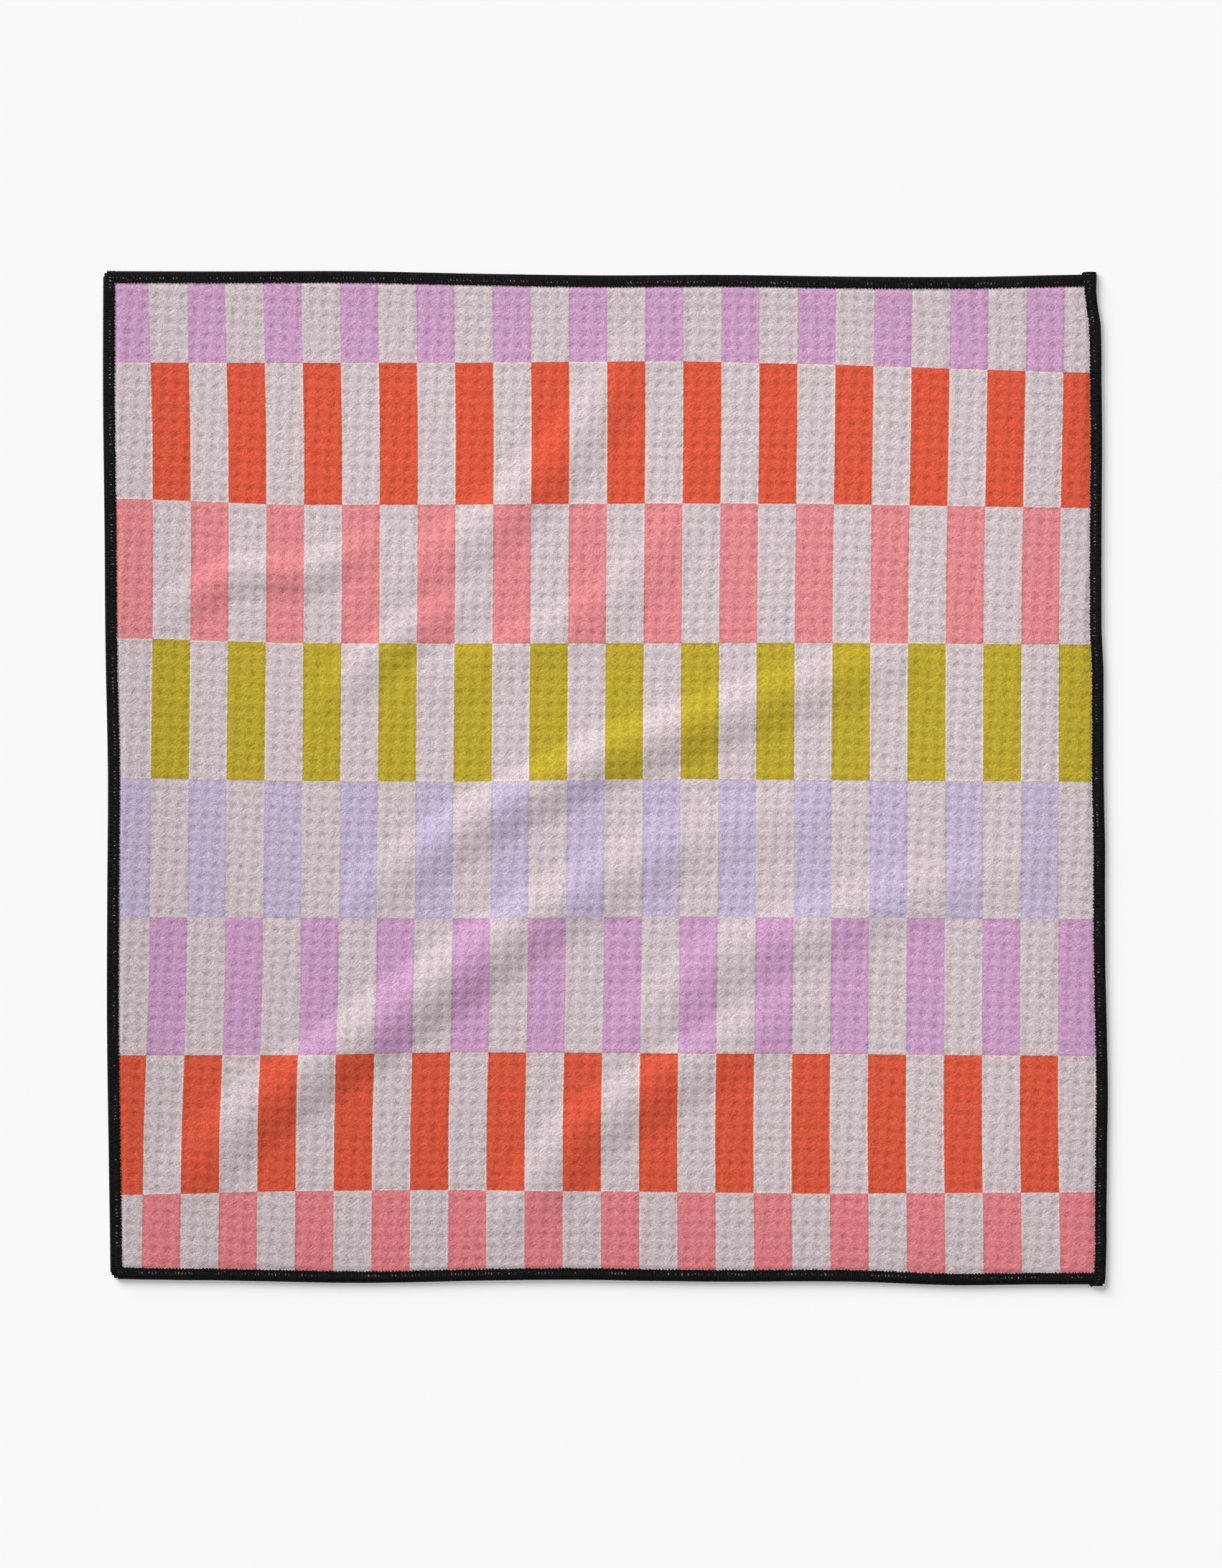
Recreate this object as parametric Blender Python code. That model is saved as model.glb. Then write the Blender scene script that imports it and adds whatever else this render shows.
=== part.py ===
"""Golf towel, lying flat with its printed face up.

It is one waffle-weave microfibre panel, with a three-thread overlock seam sewn over each of its
four raw edges. Each seam is three threads: an upper looper thread that covers the face side of the
edge, a lower looper thread that covers the back, and a needle thread that sews both of them down
along the seam's inner border. The right seam was sewn last, so it runs a little past both corners.

Metres, +Z up out of the printed face, +Y towards the top of the print. The origin is the middle of
the towel's underside.
"""

import math

import bmesh
import bpy
from mathutils import Matrix, Vector

# Overall size, and the cloth
TOWEL_WIDTH = 0.4040
TOWEL_HEIGHT = 0.4085
CLOTH_THICKNESS = 0.0023
PRESSED_CLOTH_THICKNESS = 0.0009
CLOTH_SHOULDER = 0.0012

# Overlock seam
SEAM_WIDTH = 0.0048
THREAD_LAYER = 0.0005
NEEDLE_THREAD_WIDTH = 0.0006
SEAM_ROUNDING = 0.0003
CORNER_RADIUS = 0.0024
SEAM_OVERRUN = 0.0009
OVERRUN_RADIUS = 0.0012

# Free space between two pieces that touch on the real towel
CLEARANCE = 0.0003

# How far each hand-guided edge stands out past the straight side of the nominal rectangle, at
# evenly spaced places: left to right on the top and bottom, bottom to top on the left and right
EDGE_WANDER = {
    "top": (0.0013, 0.0012, 0.0013, 0.0003, -0.0004, -0.0002, -0.0009, -0.0010, 0.0000),
    "bottom": (-0.0017, -0.0006, 0.0002, -0.0008, -0.0011, -0.0003, -0.0003, 0.0011, 0.0009),
    "left": (-0.0015, -0.0008, -0.0001, -0.0002, -0.0005, 0.0005, 0.0009, 0.0015, 0.0014),
    "right": (0.0008, 0.0015, 0.0014, 0.0007, 0.0001, -0.0003, -0.0006, -0.0008, -0.0025),
}

# Soft ripples in the cloth: height, spread to each side of the crest, and the crest's points as
# shares of the towel's width and height, counted from its middle
RIPPLES = (
    (0.0030, 0.0095, ((-0.43, -0.39), (-0.35, -0.32), (-0.21, -0.225), (-0.07, -0.13), (0.05, -0.07))),
    (0.0012, 0.0090, ((0.02, -0.08), (0.12, -0.05), (0.23, -0.035))),
    (0.0026, 0.0088, ((-0.24, -0.11), (-0.13, -0.04), (0.0, 0.025), (0.14, 0.072), (0.29, 0.12))),
    (0.0016, 0.0088, ((0.01, -0.26), (0.12, -0.175), (0.26, -0.13), (0.42, -0.085))),
    (0.0020, 0.0088, ((-0.11, -0.45), (-0.03, -0.35), (0.07, -0.29), (0.19, -0.23))),
    (0.0015, 0.0053, ((-0.44, 0.17), (-0.37, 0.205), (-0.30, 0.205), (-0.22, 0.235))),
    (0.0016, 0.0070, ((-0.24, 0.185), (-0.12, 0.25), (-0.04, 0.325), (0.03, 0.42))),
    (0.0012, 0.0068, ((-0.28, 0.08), (-0.20, 0.145), (-0.14, 0.175))),
    (0.0011, 0.0066, ((-0.19, 0.09), (-0.06, 0.145), (0.0, 0.175), (0.08, 0.26))),
)
RIPPLE_FADE_AT_EDGE = 0.030
RIPPLE_END_SHARE = 0.1

# Mesh fineness
PANEL_CELLS = 28
CORNER_STATIONS = 3

# Each material's red, green and blue, metallic value and roughness
WAFFLE_MICROFIBRE = ("waffle_microfibre", (0.60, 0.53, 0.54), 0.0, 0.90)
BLACK_OVERLOCK_THREAD = ("black_overlock_thread", (0.010, 0.009, 0.009), 0.0, 0.55)

# Heights of the layers inside a seam
PRESSED_BOTTOM = THREAD_LAYER + CLEARANCE
PRESSED_TOP = PRESSED_BOTTOM + PRESSED_CLOTH_THICKNESS
SEAM_TOP = PRESSED_TOP + CLEARANCE + THREAD_LAYER
LOOPERS_MEET = SEAM_TOP / 2

# Distances in from the towel's outer edge
PRESSED_EDGE = THREAD_LAYER + CLEARANCE
SHOULDER_START = SEAM_WIDTH + CLEARANCE
SHOULDER_END = SHOULDER_START + CLOTH_SHOULDER
UPPER_LOOPER_WIDTH = SEAM_WIDTH - NEEDLE_THREAD_WIDTH - CLEARANCE


def clear_scene():
    for obj in list(bpy.data.objects):
        bpy.data.objects.remove(obj)


def make_material(name, colour, metallic, roughness):
    material = bpy.data.materials.get(name) or bpy.data.materials.new(name)
    material.use_nodes = True
    shader = material.node_tree.nodes["Principled BSDF"]
    shader.inputs["Base Color"].default_value = (*colour, 1.0)
    shader.inputs["Metallic"].default_value = metallic
    shader.inputs["Roughness"].default_value = roughness
    return material


def add_object(name, bm, material):
    """Turns a bmesh into a named object, with its faces pointing out."""
    bmesh.ops.recalc_face_normals(bm, faces=bm.faces)
    mesh = bpy.data.meshes.new(name)
    bm.to_mesh(mesh)
    bm.free()
    mesh.materials.append(make_material(*material))
    mesh.shade_smooth()
    mesh.set_sharp_from_angle(angle=math.radians(35.0))
    obj = bpy.data.objects.new(name, mesh)
    bpy.context.scene.collection.objects.link(obj)
    return obj


def smooth_step(value):
    value = min(max(value, 0.0), 1.0)
    return value * value * (3.0 - 2.0 * value)


def wander(side, share):
    """How far an edge stands out at a share of its length, as a smooth curve through its values."""
    values = EDGE_WANDER[side]
    place = min(max(share, 0.0), 1.0) * (len(values) - 1)
    first = min(int(place), len(values) - 2)
    before = values[max(first - 1, 0)]
    after = values[min(first + 2, len(values) - 1)]
    start, end = values[first], values[first + 1]
    t = place - first
    bend = 2.0 * before - 5.0 * start + 4.0 * end - after
    twist = 3.0 * (start - end) + after - before
    return start + 0.5 * t * (end - before + t * (bend + t * twist))


def left_x(share):
    return -TOWEL_WIDTH / 2 - wander("left", share)


def right_x(share):
    return TOWEL_WIDTH / 2 + wander("right", share)


def bottom_y(share):
    return -TOWEL_HEIGHT / 2 - wander("bottom", share)


def top_y(share):
    return TOWEL_HEIGHT / 2 + wander("top", share)


def panel_point(across, up):
    """The point at shares of the towel's width and height."""
    x = left_x(up) * (1.0 - across) + right_x(up) * across
    y = bottom_y(across) * (1.0 - up) + top_y(across) * up
    return x, y


def distance_to_segment(point, start, end):
    """How far a point lies from a segment, and the nearest point's share of the segment."""
    along = end - start
    share = min(max((point - start).dot(along) / along.length_squared, 0.0), 1.0)
    return (point - start - along * share).length, share


def crest_distance(point, crest):
    """How far a point lies from a crest line, and the nearest place's share of the crest."""
    nearest = (math.inf, 0.0)
    for index in range(len(crest) - 1):
        distance, share = distance_to_segment(point, crest[index], crest[index + 1])
        nearest = min(nearest, (distance, (index + share) / (len(crest) - 1)))
    return nearest


def crest_level(along):
    """A crest's share of its full height, highest at its middle and low at both ends."""
    return math.sin(math.pi * (RIPPLE_END_SHARE + (1.0 - 2.0 * RIPPLE_END_SHARE) * along))


def ripple_height(x, y):
    """How far the ripples lift the cloth at a place, fading to nothing at the seams."""
    to_edge = min(TOWEL_WIDTH / 2 - abs(x), TOWEL_HEIGHT / 2 - abs(y)) - SHOULDER_END
    lift = 0.0
    for height, spread, shares in RIPPLES:
        crest = [Vector((across * TOWEL_WIDTH, up * TOWEL_HEIGHT)) for across, up in shares]
        distance, along = crest_distance(Vector((x, y)), crest)
        beside = math.exp(-distance * distance / (2.0 * spread * spread))
        lift += height * crest_level(along) * beside
    return lift * smooth_step(to_edge / RIPPLE_FADE_AT_EDGE)


def panel_lines(length):
    """Shares of the towel's length at which its grid has a line, closer together at both rims."""
    rim = [inset / length for inset in (PRESSED_EDGE, SHOULDER_START, SHOULDER_END)]
    step = (1.0 - 2.0 * rim[-1]) / PANEL_CELLS
    middle = [rim[-1] + step * index for index in range(1, PANEL_CELLS)]
    return rim + middle + [1.0 - share for share in reversed(rim)]


def make_panel():
    """The waffle cloth: pressed thin inside the seams, full thickness and rippled between them."""
    bm = bmesh.new()
    columns = panel_lines(TOWEL_WIDTH)
    rows = panel_lines(TOWEL_HEIGHT)
    last_column = len(columns) - 1
    last_row = len(rows) - 1
    top = {}
    bottom = {}
    for i, across in enumerate(columns):
        for j, up in enumerate(rows):
            x, y = panel_point(across, up)
            if i in (0, last_column) and j in (0, last_row):
                x -= math.copysign(CORNER_RADIUS / 2, x)
                y -= math.copysign(CORNER_RADIUS / 2, y)
            pressed = min(i, j, last_column - i, last_row - j) < 2
            if pressed:
                top[i, j] = bm.verts.new((x, y, PRESSED_TOP))
                bottom[i, j] = bm.verts.new((x, y, PRESSED_BOTTOM))
            else:
                top[i, j] = bm.verts.new((x, y, CLOTH_THICKNESS + ripple_height(x, y)))
                bottom[i, j] = bm.verts.new((x, y, 0.0))
    rest_faces = []
    for i in range(last_column):
        for j in range(last_row):
            corners = ((i, j), (i + 1, j), (i + 1, j + 1), (i, j + 1))
            bm.faces.new([top[corner] for corner in corners])
            underside = bm.faces.new([bottom[corner] for corner in reversed(corners)])
            if min(i, j, last_column - 1 - i, last_row - 1 - j) > 1:
                rest_faces.append(underside)
    rim = [(i, 0) for i in range(last_column)]
    rim += [(last_column, j) for j in range(last_row)]
    rim += [(last_column - i, last_row) for i in range(last_column)]
    rim += [(0, last_row - j) for j in range(last_row)]
    for index, place in enumerate(rim):
        following = rim[(index + 1) % len(rim)]
        bm.faces.new((bottom[place], bottom[following], top[following], top[place]))
    bmesh.ops.dissolve_faces(bm, faces=rest_faces, use_verts=True)
    return add_object("waffle_panel", bm, WAFFLE_MICROFIBRE)


def corner_inset(distance, radius):
    """How far a round corner draws an edge in, at a distance from the edge's end."""
    if distance >= radius:
        return 0.0
    return radius - math.sqrt(radius * radius - (radius - max(distance, 0.0)) ** 2)


def seam_shares(length, cut, radius):
    """Shares of a side's length at which its seam has a section: the panel's own grid lines, and
    closer together in the seam's round ends. The seam is cut back from both corners by cut."""
    ends = [cut / length]
    if radius > 0.0:
        steps = range(1, CORNER_STATIONS + 1)
        ends += [(cut + radius * (step / CORNER_STATIONS) ** 2) / length for step in steps]
    middle = [share for share in panel_lines(length) if ends[-1] < share < 1.0 - ends[-1]]
    return ends + middle + [1.0 - share for share in reversed(ends)]


def upper_looper_section(drawn_in):
    """(distance in from the edge, height) round the thread layer on the face side."""
    drawn_in = min(drawn_in, UPPER_LOOPER_WIDTH / 2)
    under = SEAM_TOP - THREAD_LAYER
    foot = LOOPERS_MEET + CLEARANCE / 2
    return (
        (drawn_in, foot),
        (drawn_in, SEAM_TOP - SEAM_ROUNDING),
        (drawn_in + SEAM_ROUNDING, SEAM_TOP),
        (UPPER_LOOPER_WIDTH, SEAM_TOP),
        (UPPER_LOOPER_WIDTH, under),
        (drawn_in + THREAD_LAYER, under),
        (drawn_in + THREAD_LAYER, foot),
    )


def lower_looper_section(drawn_in):
    """(distance in from the edge, height) round the thread layer on the back."""
    drawn_in = min(drawn_in, UPPER_LOOPER_WIDTH / 2)
    foot = LOOPERS_MEET - CLEARANCE / 2
    return (
        (drawn_in, foot),
        (drawn_in, SEAM_ROUNDING),
        (drawn_in + SEAM_ROUNDING, 0.0),
        (SEAM_WIDTH, 0.0),
        (SEAM_WIDTH, THREAD_LAYER),
        (drawn_in + THREAD_LAYER, THREAD_LAYER),
        (drawn_in + THREAD_LAYER, foot),
    )


def needle_thread_section(_drawn_in):
    """(distance in from the edge, height) round the needle thread on the seam's inner border,
    which runs straight on through the round corners."""
    outer = SEAM_WIDTH - NEEDLE_THREAD_WIDTH
    low = SEAM_TOP - THREAD_LAYER
    quarter = NEEDLE_THREAD_WIDTH / 4
    return (
        (outer, low),
        (outer, SEAM_TOP - quarter),
        (outer + quarter, SEAM_TOP),
        (SEAM_WIDTH - quarter, SEAM_TOP),
        (SEAM_WIDTH, SEAM_TOP - quarter),
        (SEAM_WIDTH, low),
    )


SECTIONS = {
    "upper_looper_thread": upper_looper_section,
    "lower_looper_thread": lower_looper_section,
    "needle_thread": needle_thread_section,
}


def seam_point(side, share, inward, height):
    """The point at a share of a side's length and a distance in from its edge."""
    if side == "left":
        return left_x(share) + inward, bottom_y(0.0) * (1.0 - share) + top_y(0.0) * share, height
    if side == "right":
        return right_x(share) - inward, bottom_y(1.0) * (1.0 - share) + top_y(1.0) * share, height
    if side == "bottom":
        return left_x(0.0) * (1.0 - share) + right_x(0.0) * share, bottom_y(share) + inward, height
    return left_x(1.0) * (1.0 - share) + right_x(1.0) * share, top_y(share) - inward, height


def make_thread(side, thread, length, cut, radius):
    """One thread's layer, swept along a side of the towel and closed at both ends."""
    bm = bmesh.new()
    rings = []
    for share in seam_shares(length, cut, radius):
        drawn_in = corner_inset(min(share, 1.0 - share) * length - cut, radius)
        corners = SECTIONS[thread](drawn_in)
        rings.append([bm.verts.new(seam_point(side, share, *corner)) for corner in corners])
    for ring, following in zip(rings, rings[1:]):
        for index in range(len(ring)):
            beside = (index + 1) % len(ring)
            bm.faces.new((ring[index], ring[beside], following[beside], following[index]))
    bm.faces.new(rings[0])
    bm.faces.new(rings[-1])
    return add_object(f"{side}_{thread}", bm, BLACK_OVERLOCK_THREAD)


def make_seams():
    """The side seams run the towel's whole height, and the end seams lie between them."""
    between_sides = SEAM_WIDTH + CLEARANCE
    for thread in SECTIONS:
        make_thread("left", thread, TOWEL_HEIGHT, 0.0, CORNER_RADIUS)
        make_thread("right", thread, TOWEL_HEIGHT, -SEAM_OVERRUN, OVERRUN_RADIUS)
        make_thread("top", thread, TOWEL_WIDTH, between_sides, 0.0)
        make_thread("bottom", thread, TOWEL_WIDTH, between_sides, 0.0)


def centre_on_origin():
    """Moves the whole towel so that the origin is the middle of its box, on the underside."""
    bpy.context.view_layer.update()
    corners = [Vector(corner) for obj in bpy.data.objects for corner in obj.bound_box]
    low = Vector(min(corner[axis] for corner in corners) for axis in range(3))
    high = Vector(max(corner[axis] for corner in corners) for axis in range(3))
    shift = Vector((-(low.x + high.x) / 2, -(low.y + high.y) / 2, -low.z))
    for obj in bpy.data.objects:
        obj.data.transform(Matrix.Translation(shift))


def main():
    clear_scene()
    make_panel()
    make_seams()
    centre_on_origin()


main()
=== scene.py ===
"""Looks of the golf towel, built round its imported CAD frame.

The printed waffle cloth is one closed sheet whose face carries the waffle cells and the soft
ripples. The overlock seams on its four edges are rows of sewn thread loops, set along the edges by
Geometry Nodes. Metres, +Z up out of the printed face, +Y towards the top of the print.
"""

import math

import bmesh
import bpy
import numpy as np
from bpy.props import FloatProperty, FloatVectorProperty, IntProperty, PointerProperty
from mathutils import Euler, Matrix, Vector


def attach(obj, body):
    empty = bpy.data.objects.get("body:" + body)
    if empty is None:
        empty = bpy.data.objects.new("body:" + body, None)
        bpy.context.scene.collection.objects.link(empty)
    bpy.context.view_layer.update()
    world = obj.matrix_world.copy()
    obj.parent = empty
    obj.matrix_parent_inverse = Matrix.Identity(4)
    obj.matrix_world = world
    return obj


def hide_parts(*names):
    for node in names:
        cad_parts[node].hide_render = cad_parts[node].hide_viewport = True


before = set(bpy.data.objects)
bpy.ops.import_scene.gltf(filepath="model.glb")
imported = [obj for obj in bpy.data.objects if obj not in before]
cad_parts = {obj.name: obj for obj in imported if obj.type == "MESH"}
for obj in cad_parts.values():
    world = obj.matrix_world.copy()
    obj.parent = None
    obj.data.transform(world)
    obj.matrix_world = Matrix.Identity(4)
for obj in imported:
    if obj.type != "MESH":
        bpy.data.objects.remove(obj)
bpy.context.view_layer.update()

bl_info = {
    "name": "Golf Towel",
    "version": (1, 0, 0),
    "blender": (4, 5, 0),
    "location": "View3D > Sidebar > Golf Towel",
    "description": "Builds a printed waffle golf towel with overlocked edges, and its studio",
    "category": "Object",
}

PANEL_NODE = "waffle_panel"
SIDES = ("top", "right", "bottom", "left")
UPRIGHT_SIDES = ("left", "right")
OUTWARD = {"top": 1.0, "right": 1.0, "bottom": -1.0, "left": -1.0}
TURNS = {"top": math.pi, "right": math.pi / 2, "bottom": 0.0, "left": -math.pi / 2}

# How far the right seam runs past both corners, how round its lower and upper end are, and by what
# share and how near the end its stitches grow longer
SEAM_OVERRUN = 0.0009
OVERRUN_RADII = (0.0024, 0.0009)
END_FLARES = (0.36, 0.26)
END_FLARE_REACH = 0.0036

# How round the left seam's ends are, and how far the top and bottom seams run under the side ones
CORNER_RADIUS = 0.0029
UNDERLAP = 0.0010

# The part of a side seam's ends whose CAD stations are left out, because they are rounded, and the
# length of a seam's path that holds two of its points
ROUND_PART = 0.003
PATH_STEP = 0.0006

# How far two outer edges stray from their CAD lines: places along them, and how far outward
EDGE_STRAYS = {
    "right": (
        (-0.2040, -0.1890, -0.1750, -0.1460, -0.1310, -0.1170, -0.0800, -0.0440, -0.0290, 0.0000,
         0.0440, 0.0600, 0.0850, 0.1310, 0.1600, 0.1750, 0.1840, 0.1915, 0.1980, 0.2041),
        (0.0002, 0.0005, 0.0002, 0.0002, 0.0005, 0.0004, -0.0001, 0.0002, 0.0005, 0.0002,
         0.0005, -0.0002, -0.0001, 0.0003, 0.0004, 0.0009, 0.0010, 0.0000, -0.0004, 0.0000),
    ),
    "bottom": (
        (-0.1870, -0.1725, -0.1580, -0.1290, -0.0720, -0.0145, 0.0142, 0.0430, 0.0717, 0.1004,
         0.1290, 0.1435, 0.1580, 0.1720, 0.2010),
        (0.0006, 0.0005, 0.0002, 0.0002, 0.0004, 0.0003, 0.0006, 0.0004, 0.0002, 0.0003,
         0.0006, 0.0006, 0.0002, 0.0000, 0.0002),
    ),
}
EDGE_STATIONS = 121

# How far inside the seams' outer edges the cloth ends, starts to rise from where the seams press it
# flat, and reaches its full height, and how far inside them its faces have the print
CLOTH_INSETS = (0.0022, 0.0047, 0.0063)
PRINTED_INSET = 0.0046

# Soft ripples in the cloth: height, spread below and above the crest, and the crest's points as
# shares of the towel's width and height, counted from its middle
RIPPLES = (
    (0.0033, 0.0110, 0.0088,
     ((-0.427, -0.394), (-0.347, -0.324), (-0.207, -0.229), (-0.067, -0.134), (0.053, -0.073))),
    (0.0010, 0.0105, 0.0085, ((0.02, -0.08), (0.12, -0.05), (0.23, -0.035))),
    (0.0029, 0.0097, 0.0073,
     ((-0.24, -0.11), (-0.13, -0.04), (0.0, 0.025), (0.14, 0.072), (0.29, 0.12))),
    (0.0018, 0.0104, 0.0086, ((0.01, -0.26), (0.12, -0.175), (0.26, -0.13), (0.42, -0.085))),
    (0.0024, 0.0110, 0.0076, ((-0.106, -0.453), (-0.03, -0.35), (0.07, -0.29), (0.19, -0.23))),
    (0.0022, 0.0072, 0.0054, ((-0.44, 0.17), (-0.37, 0.205), (-0.30, 0.205), (-0.22, 0.235))),
    (0.0018, 0.0104, 0.0074, ((-0.24, 0.185), (-0.12, 0.25), (-0.04, 0.325), (0.03, 0.42))),
    (0.0016, 0.0076, 0.0062, ((-0.28, 0.08), (-0.20, 0.145), (-0.14, 0.175))),
    (0.0012, 0.0105, 0.0064, ((-0.19, 0.09), (-0.06, 0.145), (0.0, 0.175), (0.08, 0.26))),
)
RIPPLE_FADE_AT_EDGE = 0.030
RIPPLE_END_SHARE = 0.1

# Where the rows of cells start to bow near the sides, and over what distance
BOW_START = 0.08
BOW_RUN = 0.16

# Points to a cell on the face and on the back, how near a cut line a point is moved onto it, how
# far past the cloth the lattice is counted and is kept, and how near the rim counts as on it
FACE_SAMPLES = 3
BACK_SAMPLES = 2
SNAP_REACH = 0.00045
LATTICE_MARGIN = 0.012
KEPT_MARGIN = 0.004
ON_RIM = 2e-6

# The least and greatest depth of single dimples as shares of the usual one, the table of them, and
# the share of a cell over which a ridge slopes down
DIMPLE_SHARES = (0.75, 1.2)
DIMPLE_SEED = 3
DIMPLE_TABLE = 400
RIDGE_SLOPE = 0.36

# The print's first and last column line at the middle of each row, from the top row down
FIRST_COLUMN_LINE = (-0.1849, -0.1834, -0.1831, -0.1837, -0.1843, -0.1849, -0.1869, -0.1878)
LAST_COLUMN_LINE = (0.1866, 0.1855, 0.1843, 0.1840, 0.1840, 0.1837, 0.1837, 0.1846)
COLUMNS_BETWEEN = 24
COLUMN_WIDTH = 0.01535

# How far each row line of the print strays from its even place, at the stations across the towel
ROWS = 8
ROW_PITCH = 0.0561
ROW_LINE_STATIONS = (-0.1916, -0.1290, -0.0619, 0.0284, 0.0867, 0.1916)
ROW_LINE_WANDER = (
    (0.0004, 0.0003, 0.0003, 0.0010, -0.0003, -0.0037),
    (0.0012, -0.0013, -0.0012, -0.0007, -0.0009, -0.0025),
    (0.0008, -0.0012, -0.0014, -0.0012, -0.0011, -0.0018),
    (0.0002, -0.0010, -0.0013, -0.0001, -0.0007, -0.0013),
    (0.0000, -0.0004, -0.0006, 0.0003, -0.0002, -0.0008),
    (0.0000, 0.0002, 0.0013, 0.0009, 0.0006, -0.0002),
    (-0.0005, 0.0010, 0.0015, 0.0006, 0.0000, 0.0005),
)

# The pale line of bare fibre beside the blocks: how strongly it shows in each row from the top
# down, its colour, its distance from the block, and how far it fades to each side
HALO_LEVELS = (0.05, 0.55, 0.22, 0.50, 0.05, 0.05, 0.55, 0.22)
HALO_COLOUR = (0.80, 0.62, 0.50, 1.0)
HALO_PLACE = 0.00035
HALO_REACH = 0.0004

# How far the blocks' borders stray among the fibres, and how soft they are
BORDER_STRAY = 0.0009
BORDER_SOFTNESS = 0.0004

# Corners round a looper thread and a needle thread, and the needle thread's width and thickness
LOOPER_CORNERS = 4
NEEDLE_CORNERS = 5
NEEDLE_SIZE = (0.00074, 0.00036)

# Where the top of a looper thread lies in its UV map, as a share of the way round it
TOP_OF_THREAD = 0.125

# Where the pool of light falls, where its lamp hangs from there, and the lamp's radius
POOL_TARGET = Vector((0.085, 0.100, 0.0))
POOL_OFFSET = Vector((-2.65, 1.53, 2.57))
POOL_LAMP = 0.12

SENSOR_WIDTH = 36.0


# -------- settings


def a_length(name, description, default, **limits):
    return FloatProperty(
        name=name, description=description, default=default, unit="LENGTH", precision=5, **limits
    )


def an_angle(name, description, degrees):
    return FloatProperty(
        name=name, description=description, default=math.radians(degrees), subtype="ANGLE"
    )


def a_strength(name, description, default):
    return FloatProperty(name=name, description=description, default=default, min=0.0)


def a_colour(name, description, default):
    return FloatVectorProperty(
        name=name, description=description, default=default, min=0.0, max=1.0, subtype="COLOR"
    )


class TowelClothSettings(bpy.types.PropertyGroup):
    """Sizes of the waffle cloth"""

    cell_width: a_length(
        "Cell Width", "Distance from one waffle cell to the next across the towel",
        0.00527, min=0.002,
    )
    lower_cell_height: a_length(
        "Lower Cell Height",
        "Distance from one row of waffle cells to the next over the lower part",
        0.00490,
        min=0.002,
    )
    upper_cell_height: a_length(
        "Upper Cell Height",
        "The same distance over the upper part, where the cloth lies stretched",
        0.00508,
        min=0.002,
    )
    stretch_line: a_length(
        "Stretch Line", "Height on the towel above which the cloth lies stretched", 0.071
    )
    column_lean: FloatProperty(
        name="Column Lean",
        description="Sideways drift of a column of cells for each unit of height",
        default=0.065,
    )
    left_lift: a_length("Left Lift", "How far the rows of cells rise at the left edge", 0.0029)
    right_drop: a_length("Right Drop", "How far the rows of cells fall at the right edge", 0.0035)
    dimple_depth: a_length(
        "Dimple Depth", "Depth of a waffle cell's dimple below its ridges", 0.00026, min=0.0
    )
    thickness: a_length("Thickness", "Thickness of the cloth between the seams", 0.0023, min=0.0005)
    pressed_top: a_length(
        "Pressed Top", "Height of the top of the cloth where a seam presses it flat", 0.0017
    )
    pressed_bottom: a_length(
        "Pressed Bottom", "Height of the underside of the cloth where a seam presses it flat",
        0.0008,
    )


class TowelPrintSettings(bpy.types.PropertyGroup):
    """Colours of the print"""

    greige: a_colour("Greige", "Ground colour between the coloured blocks", (0.511, 0.432, 0.448))
    orchid: a_colour("Orchid", "Blocks of the first and sixth rows", (0.491, 0.276, 0.448))
    poppy: a_colour("Poppy", "Blocks of the second and seventh rows", (0.571, 0.078, 0.038))
    rose: a_colour("Rose", "Blocks of the third row", (0.604, 0.203, 0.214))
    citron: a_colour("Citron", "Blocks of the fourth row", (0.400, 0.305, 0.023))
    periwinkle: a_colour("Periwinkle", "Blocks of the fifth row", (0.434, 0.375, 0.506))
    coral: a_colour("Coral", "Blocks of the eighth row", (0.614, 0.181, 0.197))
    bare_fibre: a_colour(
        "Bare Fibre", "Undyed fibre on the back and inside the seams", (0.614, 0.558, 0.539)
    )


class TowelSeamSettings(bpy.types.PropertyGroup):
    """Sizes of the overlock seams"""

    width: a_length(
        "Seam Width", "From the towel's edge to the tips of the thread loops", 0.0049, min=0.001
    )
    height: a_length(
        "Seam Height", "Height of the top of the seam above its underside", 0.0025, min=0.001
    )
    spacing: a_length("Stitch Spacing", "Distance from one stitch to the next", 0.00135, min=0.0005)
    thread_width: a_length(
        "Thread Width", "Width of the fluffy looper thread as it lies on the edge",
        0.00084, min=0.0001,
    )
    thread_thickness: a_length(
        "Thread Thickness", "Thickness of the looper thread as it lies on the edge",
        0.00046, min=0.0001,
    )
    needle_inset: a_length(
        "Needle Inset", "How far in from the edge the needle thread runs", 0.0042, min=0.0
    )
    unevenness: FloatProperty(
        name="Unevenness",
        description="Share by which one stitch differs from the next",
        default=0.11,
        min=0.0,
        max=0.5,
        subtype="FACTOR",
    )
    seed: IntProperty(
        name="Seed",
        description="Start of the stitches' random differences",
        default=7,
        min=0,
    )
    lint_at: a_length(
        "Lint Place", "How far along a looper stitch its dash of pale lint lies", 0.0034, min=0.0
    )
    lint_colour: a_colour(
        "Lint", "Colour of the lint caught between the stitches", (0.34, 0.29, 0.30)
    )
    thread_colour: a_colour("Thread", "Colour of the seam threads", (0.0046, 0.0040, 0.0041))


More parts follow.
